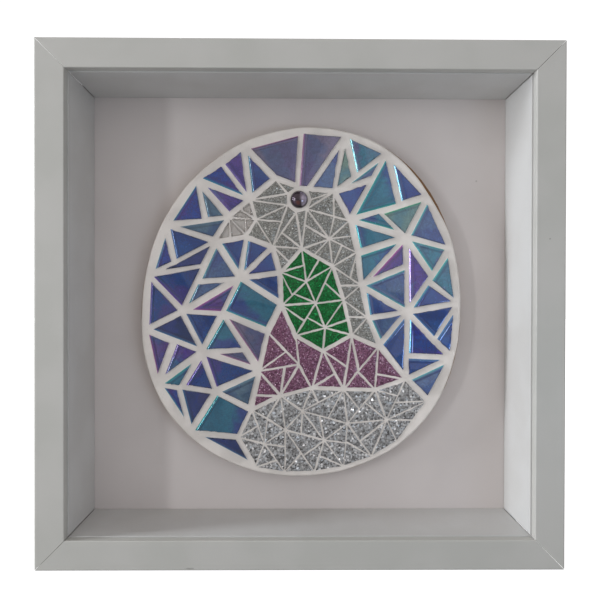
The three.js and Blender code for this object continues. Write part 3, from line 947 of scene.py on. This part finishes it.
looseTiles = sorted(name for name in cad if name.startswith("ground_tile"))
for nodeName in looseTiles:
    (outline,), front = outlinesOf(nodeName)
    allOutlines.append(outline)
    mouldedSides = chance.choice((1, 1, 1, 2))
    piece = makeGlassTile("glassTile" + nodeName[-2:], outline, front, chance, mouldedSides)
    slotName, batch = pickFinish(outline, chance)
    piece.data.materials.append(lustres[slotName, batch])
    finishPiece(piece, nodeName)
print(len(looseTiles), "loose glass tiles made")

smallOutlines, front = outlinesOf("ground_small_tiles")
allOutlines += smallOutlines
smallTiles = []
for number, outline in enumerate(smallOutlines):
    mouldedSides = chance.choice((0, 1, 1))
    piece = makeGlassTile(f"small{number}", outline, front, chance, mouldedSides)
    piece.data.materials.append(lustres[pickFinish(outline, chance)])
    smallTiles.append(piece)
only(smallTiles[0])
for piece in smallTiles:
    piece.select_set(True)
bpy.ops.object.join()
smallGlass = bpy.context.object
smallGlass.name = smallGlass.data.name = "smallGlassTiles"
finishPiece(smallGlass, "ground_small_tiles")
print(len(smallTiles), "small glass tiles made")

for nodeName, look in glitters.items():
    piece = makeThinTiles(look["piece"], nodeName, glitterTile, chance)
    piece.data.materials.append(makeGlitter(look))
    finishPiece(piece, nodeName)
    allOutlines += outlinesOf(nodeName)[0]
print("glitter tiles made")

beak = makeThinTiles("beakTiles", "beak_tiles", clearTile, chance)
beak.data.materials.append(makeClearGlass())
finishPiece(beak, "beak_tiles")
beakOutlines = outlinesOf("beak_tiles")[0]
allOutlines += beakOutlines
print("clear tiles made")


# Eye: a half-round glass bead

eye = {
    "radius": 4.62,
    "segments": 48,
    "rings": 24,
    "smoothAngle": 60,
    "height": 3.7,
    "inset": 0.1,  # behind the front of the solid that it replaces
    "underside": 0.3,  # the sphere's back half is pressed to this share of its depth
    "dark": paint(42, 26, 40),
    "slant": 0.12,
    # pale, left and warm are painted reflections of the room on the glossy bead
    "pale": paint(160, 150, 170),
    "paleReflectionFrom": (0.2, 1.6),  # painted reflection of the room, to the right of the middle
    "left": paint(76, 58, 78),
    "leftReflectionFrom": (-3.2, -1.2),
    "smoke": paint(70, 38, 60),
    "smokeNoise": (420.0, 3.0, 1.0),  # scale, detail and distortion
    "smokeFrom": (0.45, 0.7),
    "smokeShare": 0.5,
    "warmReflection": paint(120, 58, 48),
    "warmPlace": (-0.6, 0.9, -2.0),
    "warmSize": 1.3,
    "warmShare": 0.6,
    "edge": paint(26, 18, 26),
    "edgeFrom": (3.5, 4.5),
}


def makeBeadGlass(middle, front):
    material, tree, shader = newMaterial(
        "plumBead", Metallic=0.5, Roughness=0.07, IOR=1.6, Coat_Weight=1.0, Coat_Roughness=0.02)

    def fade(value, ends, *outcome):
        return remap(tree, value, ends[0] * mm, ends[1] * mm, *outcome)

    where = vectorMaths(tree, "SUBTRACT", objectPlace(tree), (middle.x, 0, middle.z))
    parts = split(tree, where)
    across = maths(tree, "ADD", parts[0], maths(tree, "MULTIPLY", parts[2], eye["slant"]))
    # painted reflections of the room: a pale right side, a lighter left side and a warm spot
    colour = blendColours(tree, fade(across, eye["paleReflectionFrom"]), eye["dark"], eye["pale"])
    colour = blendColours(tree, fade(across, eye["leftReflectionFrom"], 1.0, 0.0), colour, eye["left"])
    smoke = noise(tree, where, *eye["smokeNoise"])
    smoke = remap(tree, smoke, *eye["smokeFrom"], 0.0, eye["smokeShare"])
    colour = blendColours(tree, smoke, colour, eye["smoke"])
    warmPlace = Vector((middle.x, front, middle.z)) + Vector(eye["warmPlace"]) * mm
    warmReflection = useGroup(tree, mark, Place=warmPlace, Size=eye["warmSize"] * mm)
    warmReflection = maths(tree, "MULTIPLY", warmReflection["Mark"], eye["warmShare"])
    colour = blendColours(tree, warmReflection, colour, eye["warmReflection"])
    away = vectorMaths(tree, "LENGTH", vectorMaths(tree, "MULTIPLY", where, (1, 0, 1)))
    colour = blendColours(tree, fade(away, eye["edgeFrom"]), colour, eye["edge"])
    feed(tree, shader["Base Color"], colour)
    return material


def makeEye():
    low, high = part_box("eye")
    middle = (low + high) / 2
    seat = low.y + (eye["height"] + eye["inset"]) * mm
    bpy.ops.mesh.primitive_uv_sphere_add(segments=eye["segments"], ring_count=eye["rings"],
                                         radius=eye["radius"] * mm)
    piece = keepPrimitive("eyeBead")
    x, y, z = placesOf(piece).T
    bulge = np.where(y < 0, y * eye["height"] / eye["radius"], y * eye["underside"])
    setPlaces(piece, np.stack([x + middle.x, bulge + seat, z + middle.z], axis=1))
    smoothBy(piece, eye["smoothAngle"])
    piece.data.materials.append(makeBeadGlass(middle, low.y))
    finishPiece(piece, "eye")
    return middle


eyeMiddle = makeEye()
print("eye made")


# Grout: one bed that sags between the tiles and rolls over at the rim

grout = {
    "cells": 270,
    "rimInset": 1.5,  # the bed's flat part ends this far inside the outline
    "bead": 1.5,
    "beadSteps": 5,
    "beadReach": (0.9, 0.25),  # share of the inset, and of what is uneven
    "uneven": [(7, 1, 0.22), (17, 0, 0.18), (41, 0, 0.1)],  # waves round the rim, start, height
    "sag": 0.16,
    "sagWidth": 0.8,  # from a tile to the full sag
    "sagPower": 0.7,
    "ripples": 8,
    "ripplePitch": (200, 900),
    "rippleHeight": 0.015,
    "smoothAngle": 50,
    "pocket": 1.0,  # a tile's pocket starts this far inside its outline
    "clearPocket": 0.1,  # and a clear tile's
    "floor": 2.62,  # below the grout's face, as the next two
    "underGlass": 1.45,  # the white bed that shows through the clear tiles
    "back": 3.15,
    "colour": paint(236, 230, 225),
    "shade": paint(222, 216, 211),
    "pit": paint(150, 148, 142),
    "pitScale": 1300.0,
    "pitFrom": (0.66, 0.78),
    "pitShare": 0.5,
    "toothSize": 0.5,
    "toothDepth": 0.12,
    "patch": 12,
}
slabEdge = {  # how the outline of the grout's solid is read
    "steps": 144,
    "reach": 2.6,  # degrees to each side of a step
    "waves": 14,
}


def outlineRadius(nodeName, middle):  # a round node's radius, as a smooth function of the angle
    places = placesOf(cad[nodeName])
    x, z = places[:, 0] - middle[0], places[:, 2] - middle[1]
    angles, radii = np.arctan2(z, x), np.hypot(x, z)
    steps = np.linspace(-math.pi, math.pi, slabEdge["steps"], endpoint=False)
    outer = []
    for step in steps:
        away = np.abs((angles - step + math.pi) % (2 * math.pi) - math.pi)
        outer.append(radii[away < math.radians(slabEdge["reach"])].max())
    waves = np.fft.rfft(outer)
    waves[slabEdge["waves"]:] = 0
    smooth = np.fft.irfft(waves, len(outer))
    return lambda turn: np.interp(turn, steps, smooth, period=2 * math.pi)


def bedDepth(x, z, top):  # how far back the face of the bed lies
    nearest = np.ones(len(x))  # distance outside the nearest tile, negative inside it
    for outline in allOutlines:
        nearest = np.minimum(nearest, outsideOf(outline, x, z))
    eyeAway = np.hypot(x - eyeMiddle.x, z - eyeMiddle.z) - eye["radius"] * mm
    nearest = np.minimum(nearest, eyeAway)
    sag = np.clip(nearest / (grout["sagWidth"] * mm), 0, 1) ** grout["sagPower"]
    rough = random.Random(5)
    pitch = grout["ripplePitch"]
    ripple = sum(
        np.sin(x * rough.uniform(*pitch) + z * rough.uniform(*pitch) + rough.uniform(0, 6))
        for _ in range(grout["ripples"]))
    face = top + grout["sag"] * mm * sag + ripple * grout["rippleHeight"] * mm
    depth = np.where(nearest < -grout["pocket"] * mm, top + grout["floor"] * mm, face)
    for outline in beakOutlines:
        inside = outsideOf(outline, x, z) < -grout["clearPocket"] * mm
        depth[inside] = top + grout["underGlass"] * mm
    return depth


def rollRim(piece, middle, radius, top):  # the selected border is drawn out, over and straight back
    inset, steps = grout["rimInset"] * mm, grout["beadSteps"]
    share, unevenShare = grout["beadReach"]
    for step in range(1, steps + 2):
        bpy.ops.mesh.extrude_edges_move()
        mesh = bmesh.from_edit_mesh(piece.data)
        slope = min(step, steps) / steps * math.pi / 2
        behind = grout["bead"] * (1 - math.cos(slope)) if step <= steps else grout["back"]
        for vertex in [v for v in mesh.verts if v.select]:
            angle = math.atan2(vertex.co.z - middle[1], vertex.co.x - middle[0])
            uneven = sum(height * math.sin(count * angle + start)
                         for count, start, height in grout["uneven"])
            out = inset * math.sin(slope) * (share + unevenShare * uneven)
            reached = float(radius(angle)) - inset + out
            vertex.co = (middle[0] + reached * math.cos(angle), top + behind * mm,
                         middle[1] + reached * math.sin(angle))
        bmesh.update_edit_mesh(piece.data)


def makeGroutPaste():
    material, tree, shader = newMaterial("sandedGrout", Roughness=0.85, Specular_IOR_Level=0.25)
    tooth = toothOf(tree, grout)
    patches = remap(tree, tooth["Patches"], *midNoise)
    colour = blendColours(tree, patches, grout["colour"], grout["shade"])
    pits = noise(tree, objectPlace(tree), grout["pitScale"])
    pits = remap(tree, pits, *grout["pitFrom"], 0.0, grout["pitShare"])
    feed(tree, shader["Base Color"], blendColours(tree, pits, colour, grout["pit"]))
    feed(tree, shader["Normal"], tooth["Normal"])
    return material


def makeGrout():
    low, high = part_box("grout")
    middle = ((low.x + high.x) / 2, (low.z + high.z) / 2)
    radius = outlineRadius("grout", middle)
    cells = grout["cells"]
    bpy.ops.mesh.primitive_grid_add(x_subdivisions=cells, y_subdivisions=cells, size=2)
    piece = keepPrimitive("groutBed")
    u, v, _ = placesOf(piece).T
    across, up = u * np.sqrt(1 - v ** 2 / 2), v * np.sqrt(1 - u ** 2 / 2)  # square to disc
    turn = np.arctan2(up, across)
    reach = np.hypot(across, up) * (radius(turn) - grout["rimInset"] * mm)
    x, z = middle[0] + reach * np.cos(turn), middle[1] + reach * np.sin(turn)
    setPlaces(piece, np.stack([x, bedDepth(x, z, low.y), z], axis=1))

    openMesh(piece, "EDGE")
    bpy.ops.mesh.select_all(action="SELECT")
    bpy.ops.mesh.normals_make_consistent(inside=False)
    bpy.ops.mesh.select_all(action="DESELECT")
    bpy.ops.mesh.select_non_manifold(extend=False, use_wire=False, use_multi_face=False,
                                     use_non_contiguous=False, use_verts=False)
    rollRim(piece, middle, radius, low.y)
    bpy.ops.mesh.edge_face_add()
    bpy.ops.mesh.select_all(action="SELECT")
    bpy.ops.mesh.normals_make_consistent(inside=False)
    closeMesh()
    smoothBy(piece, grout["smoothAngle"])
    piece.data.materials.append(makeGroutPaste())
    finishPiece(piece, "grout")


makeGrout()
print("grout made")


# Stage: pale floor, soft window light from the left, and the photograph's viewpoint

stage = {
    "floorSize": 6,  # metres
    "floorGap": 0.2,  # the floor lies this far under the frame
    "floor": (0.5, 0.5, 0.5, 1),
    "background": white,
    "backgroundStrength": 1.1,
    "ambient": (1.0, 0.962, 0.94, 1),
    "ambientStrength": 0.53,
    "lamps": {  # place, width and height in metres, watts, colour
        "window": ((-1.32, -0.255, 0.22), (0.17, 1.0), 20.0, (0.92, 0.96, 1.0)),
        "glint": ((-1.0, -0.85, 0.2), (0.09, 0.6), 2.9, (0.97, 0.99, 1.0)),
        "room": ((0.6, -1.3, 0.6), (1.4, 1.2), 1.3, (0.96, 0.98, 1.0)),
        "low": ((0.3, -0.42, 0.03), (0.2, 0.05), 0.2, (0.62, 0.8, 1.0)),
    },
}


def makeFloor():
    bpy.ops.mesh.primitive_plane_add(size=stage["floorSize"],
                                     location=(0, 0, -stage["floorGap"] * mm))
    floor = keepPrimitive("paleFloor")
    material, tree, shader = newMaterial("paleFloor", Base_Color=stage["floor"], Roughness=0.9,
                                         Emission_Color=white)
    onlySeen = addNode(tree, "ShaderNodeLightPath").outputs["Is Camera Ray"]
    feed(tree, shader["Emission Strength"], onlySeen)  # white to look at, but it lights nothing
    floor.data.materials.append(material)


def makeRoom():  # white where it is seen, and softer where it lights the panel
    world = bpy.data.worlds.new("softRoom")
    scene.world = world
    world.use_nodes = True
    tree = world.node_tree
    tree.nodes.clear()
    both = addNode(tree, "ShaderNodeMixShader")
    tree.links.new(addNode(tree, "ShaderNodeLightPath").outputs["Is Camera Ray"], both.inputs[0])
    for number, name in enumerate(("ambient", "background")):
        glow = addNode(tree, "ShaderNodeBackground")
        feedNode(tree, glow, Color=stage[name], Strength=stage[name + "Strength"])
        tree.links.new(glow.outputs[0], both.inputs[number + 1])
    tree.links.new(both.outputs[0], addNode(tree, "ShaderNodeOutputWorld").inputs["Surface"])


def makeLamps():
    for name, (spot, size, watts, colour) in stage["lamps"].items():
        lamp = bpy.data.lights.new(name + "Light", "AREA")
        lamp.shape = "RECTANGLE"
        lamp.size, lamp.size_y = size
        lamp.energy = watts
        lamp.color = colour
        lampObject = bpy.data.objects.new(name + "Light", lamp)
        scene.collection.objects.link(lampObject)
        lampObject.location = spot
        lampObject.visible_camera = False
        aim = panelMiddle - lampObject.location
        lampObject.rotation_euler = aim.to_track_quat("-Z", "Y").to_euler()


view = {
    "place": (-2.6, -282.8, 128.9),
    "turn": (0.33, -0.48, 0.11),  # degrees down, left and round
    "sensor": 36,
    "focal": 555 / 600,  # as a share of the sensor's width
    "reach": (0.01, 50),  # metres
}


def makeCamera():
    down, left, roll = (math.radians(a) for a in view["turn"])
    turned = (Matrix.Rotation(roll, 3, "Z") @ Matrix.Rotation(down, 3, "X")
              @ Matrix.Rotation(left, 3, "Y"))
    right, lower, forward = (Vector((row[0], row[2], -row[1])) for row in turned)
    camera = bpy.data.cameras.new("photoView")
    camera.lens, camera.sensor_width = view["focal"] * view["sensor"], view["sensor"]
    camera.clip_start, camera.clip_end = view["reach"]
    cameraObject = bpy.data.objects.new("photoView", camera)
    scene.collection.objects.link(cameraObject)
    axes = Matrix((right, -lower, -forward)).transposed().to_4x4()
    cameraObject.matrix_world = Matrix.Translation(Vector(view["place"]) * mm) @ axes
    scene.camera = cameraObject


makeFloor()
makeRoom()
makeLamps()
makeCamera()
scene.view_settings.view_transform = "Standard"
scene.view_settings.look = "None"
print("stage and camera set")
